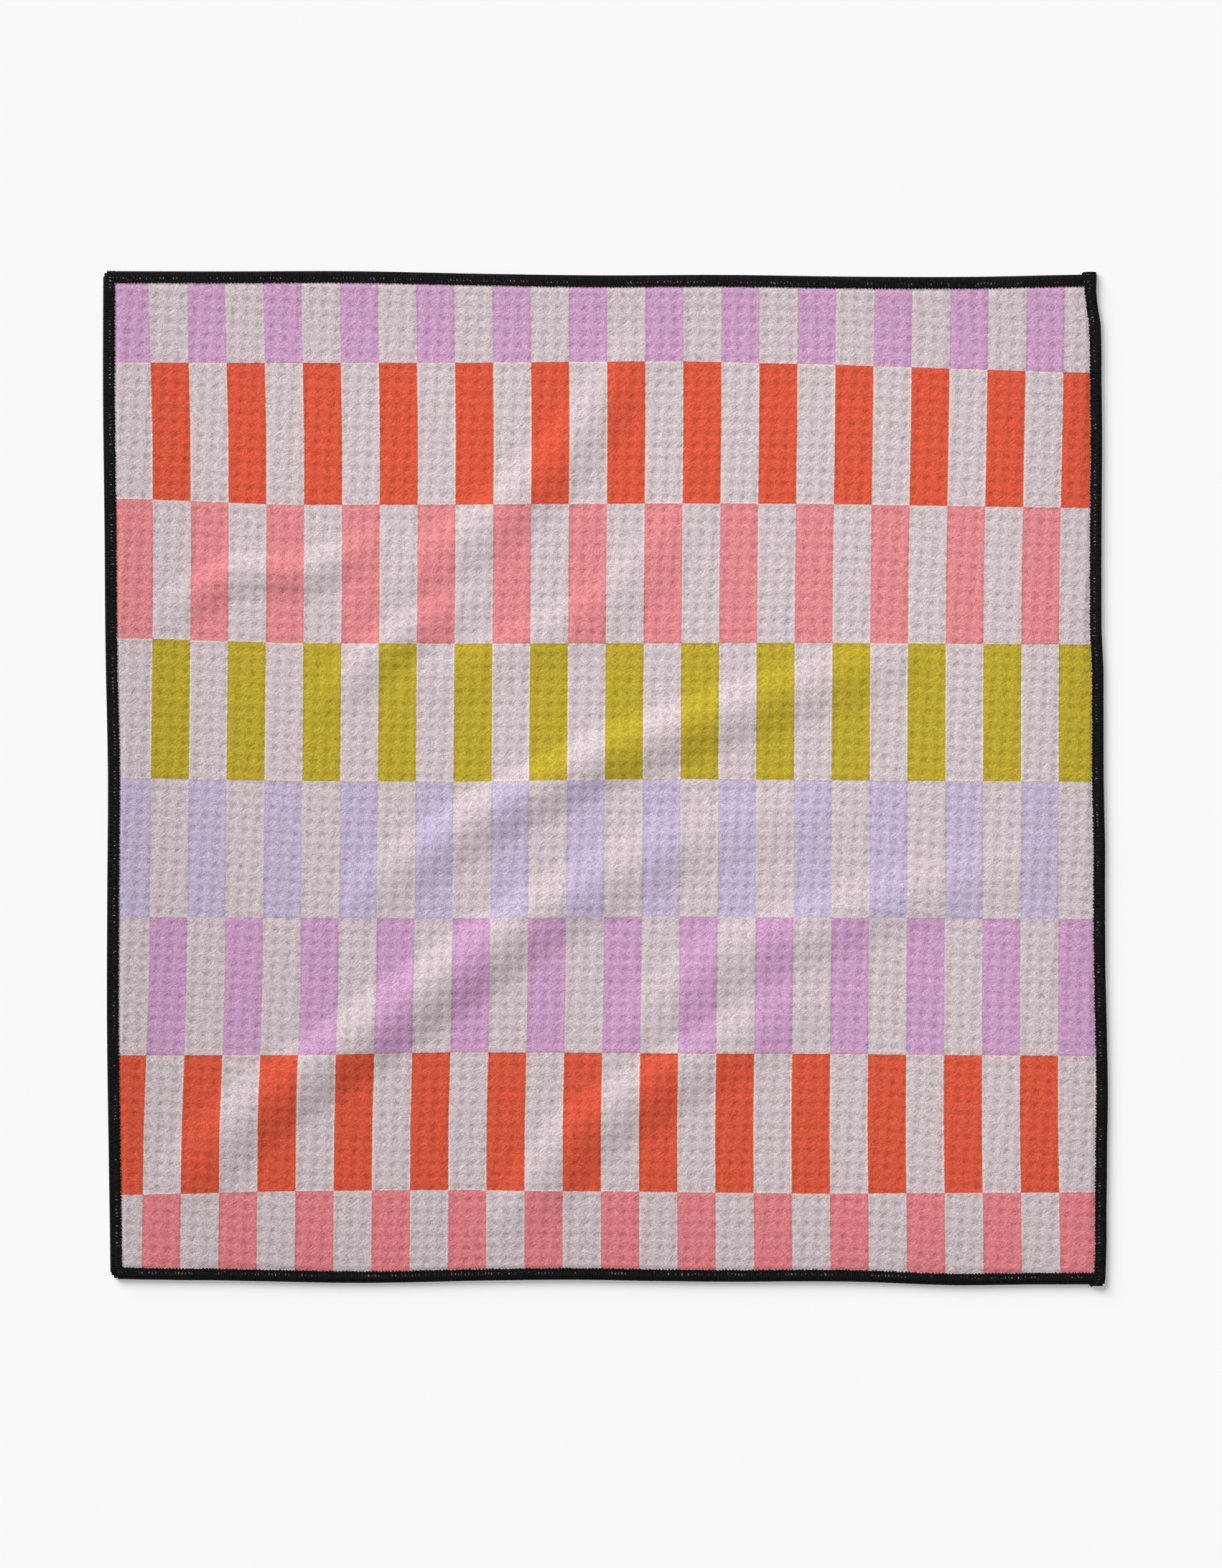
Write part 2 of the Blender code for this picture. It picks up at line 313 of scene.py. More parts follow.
class TowelStageSettings(bpy.types.PropertyGroup):
    """The studio round the towel"""

    floor_colour: a_colour("Floor", "Colour of the floor", (0.85, 0.85, 0.85))
    floor_size: a_length("Floor Size", "Width of the square floor", 40.0, min=1.0)
    key_strength: a_strength("Key Strength", "Strength of the key light", 4.08)
    key_elevation: an_angle("Key Elevation", "Angle of the key light above the floor", 28.5)
    key_azimuth: an_angle(
        "Key Azimuth", "Direction the key light comes from, anticlockwise from the towel's right",
        132.0,
    )
    key_spread: an_angle(
        "Key Spread", "Angle that the key light fills, which sets how soft its shadows are", 38.0
    )
    fill_strength: a_strength("Fill Strength", "Strength of the even light from all round", 0.030)
    overhead_strength: a_strength(
        "Overhead Strength", "Strength of the soft light from straight above", 1.46
    )
    overhead_spread: an_angle("Overhead Spread", "Angle that the light from above fills", 22.0)
    pool_power: FloatProperty(
        name="Pool Power",
        description="Power of the soft pool of light on the towel",
        default=205.0,
        min=0.0,
        unit="POWER",
    )
    pool_spread: an_angle("Pool Spread", "Angle of the soft pool of light on the towel", 9.4)
    backdrop_strength: a_strength(
        "Backdrop Strength", "Brightness of the backdrop past the edge of the floor", 0.95
    )
    camera_height: a_length(
        "Camera Height", "Height of the camera straight above the towel", 1.8, min=0.1
    )
    view_width: a_length(
        "View Width", "Width of floor that the camera sees at the height of the towel",
        0.4960, min=0.05,
    )
    aim_x: a_length("Aim Right", "How far right of the towel's middle the camera stands", 0.0025)
    aim_y: a_length("Aim Up", "How far above the towel's middle the camera stands", -0.0022)


# -------- node helpers


def maths(operation, turned=False):
    """A method of Wire that adds one Math node."""

    def method(self, *others):
        values = (*others, self) if turned else (self, *others)
        return self.graph.wire("ShaderNodeMath", 0, dict(enumerate(values)), operation=operation)

    return method


class Wire:
    """A node's output value. Arithmetic on it adds Math nodes."""

    def __init__(self, graph, socket):
        self.graph = graph
        self.socket = socket

    __add__ = maths("ADD")
    __radd__ = maths("ADD", turned=True)
    __sub__ = maths("SUBTRACT")
    __rsub__ = maths("SUBTRACT", turned=True)
    __mul__ = maths("MULTIPLY")
    __rmul__ = maths("MULTIPLY", turned=True)
    __truediv__ = maths("DIVIDE")
    __abs__ = maths("ABSOLUTE")
    at_least = maths("MAXIMUM")
    at_most = maths("MINIMUM")
    ping_pong = maths("PINGPONG")
    fraction = maths("FRACT")
    sine = maths("SINE")

    def clamped(self):
        return self.at_least(0.0).at_most(1.0)

    def zigzag(self):
        """A wave that climbs from 0 to 0.5 and falls back over each even unit, and dips below 0
        over each odd one, so that it crosses 0 at every whole number."""
        return (self + 0.5).ping_pong(1.0) - 0.5


class Graph:
    """Adds nodes to one node tree."""

    def __init__(self, tree):
        self.tree = tree

    def feed(self, socket, value):
        """Links a value to a socket, or sets a plain number, colour or object on it."""
        if isinstance(value, Wire):
            self.tree.links.new(value.socket, socket)
        elif isinstance(value, bpy.types.NodeSocket):
            self.tree.links.new(value, socket)
        else:
            socket.default_value = value

    def add(self, kind, inputs=None, **settings):
        """A node of a type, with its settings set first and then its sockets."""
        node = self.tree.nodes.new(kind)
        for name, value in settings.items():
            setattr(node, name, value)
        for key, value in (inputs or {}).items():
            self.feed(node.inputs[key], value)
        return node

    def wire(self, kind, output=0, inputs=None, **settings):
        return Wire(self, self.add(kind, inputs, **settings).outputs[output])

    def steps(self, place, colours):
        """One of the colours at each place from 0 to 1, in even hard steps."""
        node = self.add("ShaderNodeValToRGB", {0: place})
        ramp = node.color_ramp
        ramp.interpolation = "CONSTANT"
        while len(ramp.elements) < len(colours):
            ramp.elements.new(1.0)
        for index, (element, colour) in enumerate(zip(ramp.elements, colours)):
            element.position = index / len(colours)
            element.color = (*colour, 1.0)
        return Wire(self, node.outputs[0])

    def uv(self, name):
        """The two values of a UV map."""
        uv_map = self.wire("ShaderNodeUVMap", uv_map=name)
        parts = self.add("ShaderNodeSeparateXYZ", {0: uv_map})
        return Wire(self, parts.outputs[0]), Wire(self, parts.outputs[1])

    def vector(self, x, y, z=0.0):
        return self.wire("ShaderNodeCombineXYZ", 0, {0: x, 1: y, 2: z})

    def noise(self, place, scale, detail=2.0, roughness=0.5):
        inputs = {"Vector": place, "Scale": scale, "Detail": detail, "Roughness": roughness}
        return self.wire("ShaderNodeTexNoise", 0, inputs, noise_dimensions="3D")

    def mix(self, factor, first, second):
        """Mixes two colours."""
        inputs = {0: factor, 6: first, 7: second}
        return self.wire("ShaderNodeMix", 2, inputs, data_type="RGBA", blend_type="MIX")

    def scaled(self, colour, factor):
        """A colour times a value."""
        inputs = {0: colour, "Scale": factor}
        return self.wire("ShaderNodeVectorMath", 0, inputs, operation="SCALE")

    def fall(self, value, start, end):
        """1 at start, easing to 0 at end."""
        inputs = {"Value": value, "From Min": start, "From Max": end, "To Min": 1.0, "To Max": 0.0}
        return self.wire("ShaderNodeMapRange", 0, inputs, interpolation_type="SMOOTHSTEP")

    def bump(self, strength, distance, height):
        inputs = {"Strength": strength, "Distance": distance, "Height": height}
        return self.wire("ShaderNodeBump", 0, inputs)


def new_object(context, name, data):
    """An object in the scene with this data."""
    obj = bpy.data.objects.new(name, data)
    context.scene.collection.objects.link(obj)
    return obj


def new_material(name):
    """A material with an empty tree, and its graph."""
    material = bpy.data.materials.new(name)
    material.use_nodes = True
    material.node_tree.nodes.clear()
    return material, Graph(material.node_tree)


def close_material(graph, inputs):
    """Ends a material's tree with a Principled shader."""
    shader = graph.wire("ShaderNodeBsdfPrincipled", 0, inputs)
    graph.add("ShaderNodeOutputMaterial", {"Surface": shader})


# -------- the towel's outline


def edge_line(side):
    """Stations of one outer edge from the CAD: shares of the side's length, left to right or
    bottom to top, and the edge's place across at each. Round ends are carried on straight."""
    along, across = (1, 0) if side in UPRIGHT_SIDES else (0, 1)
    outward = OUTWARD[side]
    overrun = SEAM_OVERRUN if side == "right" else 0.0
    stations = {}
    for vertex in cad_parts[f"{side}_upper_looper_thread"].data.vertices:
        key = round(vertex.co[along], 5)
        reach = outward * vertex.co[across]
        stations[key] = max(stations.get(key, reach), reach)
    places = sorted(stations)
    if along == 1:
        start, end = places[0] + overrun, places[-1] - overrun
        places = [place for place in places if start + ROUND_PART < place < end - ROUND_PART]
    else:
        start, end = edge_corner("left", side), edge_corner("right", side)
    reaches = [outward * stations[place] for place in places]
    slopes = np.diff(reaches) / np.diff(places)
    first = reaches[0] - slopes[0] * (places[0] - start)
    last = reaches[-1] + slopes[-1] * (end - places[-1])
    shares = [(place - start) / (end - start) for place in places]
    even = np.linspace(0.0, 1.0, EDGE_STATIONS)
    even_places = np.interp(even, [0.0, *shares, 1.0], [first, *reaches, last])
    if side in EDGE_STRAYS:
        even_places += outward * np.interp(start + (end - start) * even, *EDGE_STRAYS[side])
    return {"start": start, "end": end, "shares": even, "places": even_places}


EDGES = {}


def edge_corner(side, end_side):
    """Where the left or right edge meets the top or bottom one."""
    return float(EDGES[side]["places"][-1 if end_side == "top" else 0])


def read_edges():
    """Reads the upright sides first, because the other two end on them."""
    for side in (*UPRIGHT_SIDES, "top", "bottom"):
        EDGES[side] = edge_line(side)


def edge_at(side, shares):
    return np.interp(shares, EDGES[side]["shares"], EDGES[side]["places"])


def along_at(side, shares):
    edge = EDGES[side]
    return edge["start"] + (edge["end"] - edge["start"]) * shares


def towel_place(across, up):
    """The point at shares of the towel's width and height."""
    x = edge_at("left", up) * (1.0 - across) + edge_at("right", up) * across
    y = edge_at("bottom", across) * (1.0 - up) + edge_at("top", across) * up
    return x, y


def towel_size():
    """The straight rectangle that the towel's outline wanders about: its width and height."""
    mean = {side: float(np.mean(EDGES[side]["places"])) for side in SIDES}
    return mean["right"] - mean["left"], mean["top"] - mean["bottom"]


# -------- the cloth


def smooth_step(values):
    values = np.clip(values, 0.0, 1.0)
    return values * values * (3.0 - 2.0 * values)


def crest_lift(x, y, height, spreads, crest):
    """The lift of one ripple at each point, highest at the middle of its crest. The two spreads
    say how far from the crest its lower and its upper flank are steepest."""
    nearest = np.full(x.shape, np.inf)
    along = np.zeros(x.shape)
    above = np.zeros(x.shape)
    pieces = len(crest) - 1
    for index in range(pieces):
        (x0, y0), (x1, y1) = crest[index], crest[index + 1]
        run_x, run_y = x1 - x0, y1 - y0
        share = ((x - x0) * run_x + (y - y0) * run_y) / (run_x * run_x + run_y * run_y)
        share = np.clip(share, 0.0, 1.0)
        distance = np.hypot(x - x0 - share * run_x, y - y0 - share * run_y)
        closer = distance < nearest
        nearest = np.where(closer, distance, nearest)
        along = np.where(closer, (index + share) / pieces, along)
        side = run_x * (y - y0 - share * run_y) - run_y * (x - x0 - share * run_x)
        above = np.where(closer, side, above)
    level = np.sin(np.pi * (RIPPLE_END_SHARE + (1.0 - 2.0 * RIPPLE_END_SHARE) * along))
    steepest_at = math.sqrt(1.0 / 3.0)
    reach = np.where(above > 0.0, spreads[1], spreads[0]) / steepest_at
    return height * level * np.clip(1.0 - (nearest / reach) ** 2, 0.0, 1.0) ** 2


def ripple_lift(x, y, inset):
    """How far the ripples lift the cloth, fading to nothing at the seams."""
    width, height = towel_size()
    lift = np.zeros(x.shape)
    for crest_height, lower, upper, shares in RIPPLES:
        crest = [(across * width, up * height) for across, up in shares]
        lift += crest_lift(x, y, crest_height, (lower, upper), crest)
    return lift * smooth_step((inset - CLOTH_INSETS[2]) / RIPPLE_FADE_AT_EDGE)


class Waffle:
    """The waffle's cells as the cloth lies: leaning columns, and rows that rise at the left edge
    and fall at the right one. Cell places count whole cells from the ridges that cross near the
    towel's middle."""

    def __init__(self, settings):
        self.cell_width = settings.cell_width
        self.lower = settings.lower_cell_height
        self.upper = settings.upper_cell_height
        self.knee = settings.stretch_line
        self.lean = settings.column_lean
        self.left_lift = settings.left_lift
        self.right_drop = settings.right_drop

    def bow(self, x):
        left = smooth_step((-x - BOW_START) / BOW_RUN) * 2.0 * self.left_lift
        right = smooth_step((x - BOW_START) / BOW_RUN) * 2.0 * self.right_drop
        return left - right

    def point(self, column, row):
        """The point on the flat towel at a place in cells."""
        level = self.knee + row * np.where(row > 0.0, self.upper, self.lower)
        x = column * self.cell_width + self.lean * level
        return x, level + self.bow(x)

    def cell(self, x, y):
        """The place in cells of a point on the flat towel."""
        level = y - self.bow(x)
        row = (level - self.knee) / np.where(level > self.knee, self.upper, self.lower)
        return (x - self.lean * level) / self.cell_width, row


def snap(values, lines):
    """Moves each value that is close to one of the lines onto it."""
    for line in lines:
        values = np.where(np.abs(values - line) < SNAP_REACH, line, values)
    return values


def add_lattice(bm, waffle, samples, level, lines_x, lines_y):
    """A sheet of points in the waffle's pattern, larger than the towel, at a height."""
    half_width, half_height = lines_x[-1], lines_y[-1]
    slope = abs(waffle.lean) * half_height
    columns = math.ceil((half_width + slope + LATTICE_MARGIN) / waffle.cell_width) * samples
    rows_up = math.ceil((half_height + LATTICE_MARGIN - waffle.knee) / waffle.upper) * samples
    rows_down = math.ceil((half_height + LATTICE_MARGIN + waffle.knee) / waffle.lower) * samples
    column = np.arange(-columns, columns + 1) / samples
    row = np.arange(-rows_down, rows_up + 1) / samples
    column, row = np.meshgrid(column, row, indexing="ij")
    x, y = waffle.point(column, row)
    x = snap(x, lines_x)
    y = snap(y, lines_y)
    inside = np.abs(x) < half_width + KEPT_MARGIN
    inside &= np.abs(y) < half_height + KEPT_MARGIN
    vertices = np.full(x.shape, None, object)
    for i, j in zip(*np.nonzero(inside)):
        vertices[i, j] = bm.verts.new((x[i, j], y[i, j], level))
    for i in range(x.shape[0] - 1):
        for j in range(x.shape[1] - 1):
            corners = (*vertices[i : i + 2, j], *vertices[i : i + 2, j + 1][::-1])
            if None not in corners:
                bm.faces.new(corners)


def cut_at(bm, axis, place, outer):
    """Cuts the sheets along a straight line, and where it is an outer one drops what is past it."""
    normal, point = Vector(), Vector()
    normal[axis] = math.copysign(1.0, place)
    point[axis] = place
    bmesh.ops.bisect_plane(
        bm,
        geom=bm.verts[:] + bm.edges[:] + bm.faces[:],
        dist=1e-6,
        plane_co=point,
        plane_no=normal,
        clear_outer=outer,
    )


def rim_ring(bm, level, half_width, half_height):
    """The rim's corners at one level, in order round the towel, each with its place on the way."""
    ring = []
    for vertex in bm.verts:
        if abs(vertex.co.z - level) > 0.01:
            continue
        x, y = vertex.co.x / half_width, vertex.co.y / half_height
        rims = ((-y, x), (x, y), (y, -x), (-x, -y))
        for index, (reach, along) in enumerate(rims):
            if abs(reach - 1.0) * (half_width if index % 2 else half_height) < ON_RIM:
                ring.append((index + (along + 1.0) / 2.0, vertex))
                break
    return sorted(ring, key=lambda entry: entry[0])


def join_rings(bm, upper, lower):
    """Closes the gap between two rings of different counts with triangles."""
    i = j = 0
    while i < len(upper) or j < len(lower):
        upper_next = upper[i + 1][0] if i + 1 < len(upper) else 4.0 + (i - len(upper) + 1)
        lower_next = lower[j + 1][0] if j + 1 < len(lower) else 4.0 + (j - len(lower) + 1)
        here_up = upper[i % len(upper)][1]
        here_low = lower[j % len(lower)][1]
        if j >= len(lower) or (i < len(upper) and upper_next <= lower_next):
            i += 1
            bm.faces.new((here_up, here_low, upper[i % len(upper)][1]))
        else:
            j += 1
            bm.faces.new((here_up, here_low, lower[j % len(lower)][1]))


def cloth_mesh(settings):
    """The closed sheet: the printed face in fine cells, the back in coarser ones, and the rim."""
    width, height = towel_size()
    waffle = Waffle(settings)
    half_widths = [width / 2 - inset for inset in CLOTH_INSETS]
    half_heights = [height / 2 - inset for inset in CLOTH_INSETS]
    lines_x = sorted([-value for value in half_widths] + half_widths)
    lines_y = sorted([-value for value in half_heights] + half_heights)
    bm = bmesh.new()
    add_lattice(bm, waffle, FACE_SAMPLES, 0.0, lines_x, lines_y)
    add_lattice(bm, waffle, BACK_SAMPLES, -1.0, lines_x, lines_y)
    for axis, halves in ((0, half_widths), (1, half_heights)):
        for index, half in enumerate(halves):
            cut_at(bm, axis, half, index == 0)
            cut_at(bm, axis, -half, index == 0)
    join_rings(bm, *(rim_ring(bm, level, half_widths[0], half_heights[0]) for level in (0.0, -1.0)))
    bmesh.ops.recalc_face_normals(bm, faces=bm.faces)
    mesh = bpy.data.meshes.new("printed_waffle_cloth")
    bm.to_mesh(mesh)
    bm.free()
    shape_cloth(mesh, settings, waffle, width, height)
    return mesh


def cell_depth(column, row):
    """How deep each place of the waffle lies, 0 on a ridge and 1 on the floor of a dimple."""
    from_ridge = [np.abs(place - np.round(place)) for place in (column, row)]
    return smooth_step(from_ridge[0] / RIDGE_SLOPE) * smooth_step(from_ridge[1] / RIDGE_SLOPE)


def shape_cloth(mesh, settings, waffle, width, height):
    """Moves the flat sheets to their place and gives them their maps and materials."""
    count = len(mesh.vertices)
    flat = np.empty(count * 3)
    mesh.vertices.foreach_get("co", flat)
    flat = flat.reshape(-1, 3)
    face_up = flat[:, 2] > -0.5
    inset = np.minimum(width / 2 - np.abs(flat[:, 0]), height / 2 - np.abs(flat[:, 1]))
    x, y = towel_place(flat[:, 0] / width + 0.5, flat[:, 1] / height + 0.5)
    column, row = waffle.cell(flat[:, 0], flat[:, 1])
    lift = ripple_lift(x, y, inset)
    _cut, pressed, full = CLOTH_INSETS
    rise = smooth_step((inset - pressed) / (full - pressed))
    strength = np.random.default_rng(DIMPLE_SEED).uniform(*DIMPLE_SHARES, (DIMPLE_TABLE,) * 2)
    cell = strength[tuple(np.floor(place).astype(int) % DIMPLE_TABLE for place in (column, row))]
    relief = settings.dimple_depth * cell_depth(column, row) * cell
    top = settings.pressed_top + rise * (settings.thickness - settings.pressed_top - relief) + lift
    back_relief = 0.5 * settings.dimple_depth * (1.0 - cell_depth(column, row))
    bottom = settings.pressed_bottom * (1.0 - rise) + rise * back_relief + lift
    z = np.where(face_up, top, bottom)
    mesh.vertices.foreach_set("co", np.column_stack((x, y, z)).ravel())

    corners = np.empty(len(mesh.loops), int)
    mesh.loops.foreach_get("vertex_index", corners)
    across, down = print_place(x, y)
    for name, places in (("print", (across, down)), ("weave", (column, row))):
        layer = mesh.uv_layers.new(name=name)
        layer.uv.foreach_set("vector", np.column_stack(places)[corners].ravel())

    from_seam = mesh.attributes.new("from_seam", "FLOAT", "POINT")
    from_seam.data.foreach_set("value", (inset - pressed).astype(np.float32))

    starts = np.empty(len(mesh.polygons), int)
    mesh.polygons.foreach_get("loop_start", starts)
    least = np.minimum.reduceat(np.where(face_up, inset, 0.0)[corners], starts)
    mesh.polygons.foreach_set("material_index", np.where(least > PRINTED_INSET, 0, 1))
    mesh.shade_smooth()
    mesh.update()


def row_lines(x):
    """The heights of the print's seven row lines at each place across the towel."""
    return [
        ROW_PITCH * (ROWS / 2 - 1 - index) + np.interp(x, ROW_LINE_STATIONS, wander)
        for index, wander in enumerate(ROW_LINE_WANDER)
    ]


def print_place(x, y):
    """Where each point lies in the print: columns counted from its first column line, and rows
    counted down from its top."""
    lines = row_lines(x)
    down = 1.0 - (y - lines[0]) / ROW_PITCH
    for index in range(len(lines) - 1):
        share = (lines[index] - y) / (lines[index] - lines[index + 1])
        down = np.where(share > 0.0, index + 1.0 + share, down)
    down = np.where(y < lines[-1], len(lines) + (lines[-1] - y) / ROW_PITCH, down)
    middles = [ROW_PITCH * (index + 0.5 - ROWS / 2) for index in range(ROWS)]
    first = np.interp(-y, middles, FIRST_COLUMN_LINE)
    last = np.interp(-y, middles, LAST_COLUMN_LINE)
    return (x - first) / (last - first) * COLUMNS_BETWEEN, down


def print_colour(graph, colours):
    """The print's colour at each point of the face: blocks in rows, each shifted by one column."""
    across, down = graph.uv("print")
    weave_x, weave_y = graph.uv("weave")
    fuzz = graph.noise(graph.vector(weave_x * 9.0, weave_y * 9.0), 1.0, 2.0) - 0.5
    beside = across.zigzag() * COLUMN_WIDTH + fuzz * BORDER_STRAY
    above = down.zigzag() * ROW_PITCH - fuzz * BORDER_STRAY
    soft_beside = (beside / BORDER_SOFTNESS + 0.5).clamped()
    soft_above = (above / BORDER_SOFTNESS + 0.5).clamped()
    block = soft_beside + soft_above - 2.0 * soft_beside * soft_above
    row = down / float(ROWS)
    to_line = abs(beside).at_most(abs(above))
    halo = graph.fall(abs(to_line - HALO_PLACE), 0.0, HALO_REACH) * (1.0 - block)
    halo = halo * graph.steps(row, [(level,) * 3 for level in HALO_LEVELS])
    ground = graph.mix(halo, (*colours["greige"], 1.0), HALO_COLOUR)
    rim = graph.fall(to_line, 0.0002, 0.0010) * 0.10
    inked = graph.scaled(graph.steps(row, colours["rows"]), 1.0 - rim)
    return graph.mix(block, ground, inked)


def weave_shade(graph):
    """Values for the cloth's surface: a factor for its colour, which holds random tone together
    with painted shade in the dimples, near the seams and on the nap, and its height for the bump.
    """
    column, row = graph.uv("weave")
    patch = graph.noise(graph.vector(column, row), 1.1, 1.0)
    well = 1.0
    for place in (column, row):
        well = graph.fall(abs(place.fraction() - 0.5), 0.06, 0.42) * well
    dimple = well * (patch * 1.6 + 0.20)
    slant_x = (column + row * 0.85) * 0.75
    slant_y = row - column * 0.85
    nap = graph.noise(graph.vector(slant_x * 3.5, slant_y * 5.0), 1.0, 2.5, 0.6)
    fibre = graph.noise(graph.vector(column * 19.0, row * 19.0), 1.0, 1.5)
    cloudy = graph.noise(graph.vector(column * 0.35, row * 0.35), 1.0, 2.0)
    tuft = graph.noise(graph.vector(slant_x * 1.6, slant_y * 2.4, 4.0), 1.0, 1.0)
    # Random tone of the fibres together with painted shade: the colour is lighter where the nap and
    # fibres stand high in the bump and darker between them.
    grain_and_nap_shade = (nap - 0.5) * 1.30 + (fibre - 0.5) * 2.10 + (tuft - 0.5) * 0.30
    from_seam = graph.wire("ShaderNodeAttribute", "Fac", attribute_name="from_seam")
    # Painted shade: the cloth's colour grows darker within about 45 mm of the seams.
    painted_seam_shade = graph.fall(from_seam, 0.0, 0.045) * 0.055
    # Painted shade: the colour is made darker in each waffle dimple, shade painted into the
    # recesses on top of the bump's own dimple.
    shade = 1.0 - dimple * 0.085 - painted_seam_shade + grain_and_nap_shade + (cloudy - 0.5) * 0.05
    return shade, nap * 0.50 + fibre * 0.48 - dimple * 0.46


def cloth_material(name, colours, strike_through):
    """The brushed waffle microfibre. The print shows fully on its face, and through to the back
    by a share."""
    material, graph = new_material(name)
    shade, height = weave_shade(graph)
    colour = print_colour(graph, colours)
    if strike_through < 1.0:
        colour = graph.mix(strike_through, (*colours["bare_fibre"], 1.0), colour)
    surface = {
        "Base Color": graph.scaled(colour, shade),
        "Roughness": (0.95 - height * 0.12).clamped(),
        "Specular IOR Level": 0.12,
        "Sheen Weight": 0.12,
        "Sheen Roughness": 0.5,
        "Normal": graph.bump(0.80, 0.00045, height),
    }
    close_material(graph, surface)
    return material


def print_colours(settings):
    """The print's colours, with one for each row from the top down."""
    names = "orchid poppy rose citron periwinkle orchid poppy coral".split()
    return {
        "rows": [tuple(getattr(settings, name)) for name in names],
        "greige": tuple(settings.greige),
        "bare_fibre": tuple(settings.bare_fibre),
    }


# -------- the seams


def corner_inset(distance, radius):
    """How far a round end draws the seam in, at a distance from its end."""
    distance = np.clip(distance, 0.0, radius)
    return radius - np.sqrt(radius * radius - (radius - distance) ** 2)


def seam_path(side, width, half_stitch):
    """A line of points along one edge for the stitches to follow, with the way they face and the
    share of the seam's width that the round ends leave them."""
    upright = side in UPRIGHT_SIDES
    overrun = SEAM_OVERRUN if side == "right" else 0.0
    reach = overrun - half_stitch if upright else UNDERLAP - width
    seam_length = abs(EDGES[side]["end"] - EDGES[side]["start"])
    margin = reach / seam_length
    shares = np.linspace(-margin, 1.0 + margin, 2 * int(seam_length / PATH_STEP))
    from_end = np.minimum(shares, 1.0 - shares) * seam_length + overrun
    radius = CORNER_RADIUS if upright else 0.0
    flare = 0.0
    if side == "right":
        radius = np.where(shares < 0.5, *OVERRUN_RADII)
        flare = np.where(shares < 0.5, *END_FLARES)
        flare = flare * smooth_step(1.0 - from_end / END_FLARE_REACH)
    inset = corner_inset(from_end - half_stitch / 2, radius)
    places = edge_at(side, shares) - OUTWARD[side] * inset
    along = along_at(side, shares)
    x, y = (places, along) if upright else (along, places)
    mesh = bpy.data.meshes.new(f"{side}_seam_path")
    edges = [(index, index + 1) for index in range(len(x) - 1)]
    mesh.from_pydata(np.column_stack((x, y, np.zeros(x.shape))).tolist(), edges, [])
    stored = {"turn": np.full(x.shape, TURNS[side]), "width_share": (width - inset) / width + flare}
    for name, values in stored.items():
        attribute = mesh.attributes.new(name, "FLOAT", "POINT")
        attribute.data.foreach_set("value", values.astype(np.float32))
    return mesh


def thread_mesh(name, line, shares, width, thickness, corners):
    """A closed piece of thread along a line of points, wider than it is thick and narrowed at each
    point to a share, with a UV map of the distance along it and the way round it."""
    bm = bmesh.new()
    uv_layer = bm.loops.layers.uv.new("thread")
    points = [Vector(point) for point in line]
    angles = [2.0 * math.pi * (corner + 0.5) / corners for corner in range(corners)]
    widest = max(math.cos(angle) for angle in angles)
    tallest = max(math.sin(angle) for angle in angles)
    around = [(math.cos(angle) / widest, math.sin(angle) / tallest) for angle in angles]
    rings = []
    lengths = [0.0]
    for first, second in zip(points, points[1:]):
        lengths.append(lengths[-1] + (second - first).length)
    for index, point in enumerate(points):
        ahead = points[min(index + 1, len(points) - 1)] - points[max(index - 1, 0)]
        ahead.normalize()
        beside = Vector((0.0, 0.0, 1.0)).cross(ahead)
        if beside.length < 0.2:
            beside = Vector((1.0, 0.0, 0.0))
        beside.normalize()
        above = ahead.cross(beside).normalized()
        ring = []
        for across, up in around:
            offset = beside * across * width + above * up * thickness
            ring.append(bm.verts.new(point + offset * shares[index] / 2))
        rings.append(ring)
    for index, (ring, following) in enumerate(zip(rings, rings[1:])):
        for corner in range(corners):
            after = (corner + 1) % corners
            face = bm.faces.new((ring[corner], ring[after], following[after], following[corner]))
            turns = (corner, corner + 1, corner + 1, corner)
            ends = (index, index, index + 1, index + 1)
            for loop, turn, end in zip(face.loops, turns, ends):
                loop[uv_layer].uv = (lengths[end] / width, turn / corners)
    bm.faces.new(reversed(rings[0]))
    bm.faces.new(rings[-1])
    bmesh.ops.recalc_face_normals(bm, faces=bm.faces)
    mesh = bpy.data.meshes.new(name)
    bm.to_mesh(mesh)
    bm.free()
    mesh.shade_smooth()
    return mesh


def looper_line(settings, lower):
    """The line of one looper stitch: in over the edge to the loop's tip, and back out."""
    high = settings.height - settings.thread_thickness / 2
    middle = settings.height / 2
    leg = settings.spacing / 4
    tip = settings.width - 0.0001
    side = settings.thread_thickness / 2
    half = [
        (leg, side + 0.00006, middle, 1.0),
        (leg, side, high - 0.0005, 1.0),
        (leg, side + 0.00035, high - 0.00008, 1.0),
        (leg * 1.02, 0.42 * settings.width, high, 1.0),
        (leg * 0.94, 0.66 * settings.width, high - 0.00008, 0.98),
        (leg * 0.80, settings.needle_inset, high - 0.00026, 0.84),
        (leg * 0.50, tip - 0.00026, high - 0.00026, 0.62),
    ]
    line = [(-x, y, z) for x, y, z, _share in half]
    line.append((0.0, tip, high - 0.00022))
    line += [(x, y, z) for x, y, z, _share in reversed(half)]
    if lower:
        line = [(x, y, settings.height - z) for x, y, z in line]
    shares = [share for *_place, share in half]
    return line, [*shares, 0.58, *reversed(shares)]


def needle_line(settings):
    """The line of one needle stitch on the face, dipping into the cloth at both ends."""
    high = settings.height - 0.00018
    half = settings.spacing / 2
    dips = ((-1.10, 0.00062), (-0.82, 0.00012), (0.0, 0.0), (0.82, 0.00012), (1.10, 0.00062))
    return [(half * place, settings.needle_inset, high - dip) for place, dip in dips]


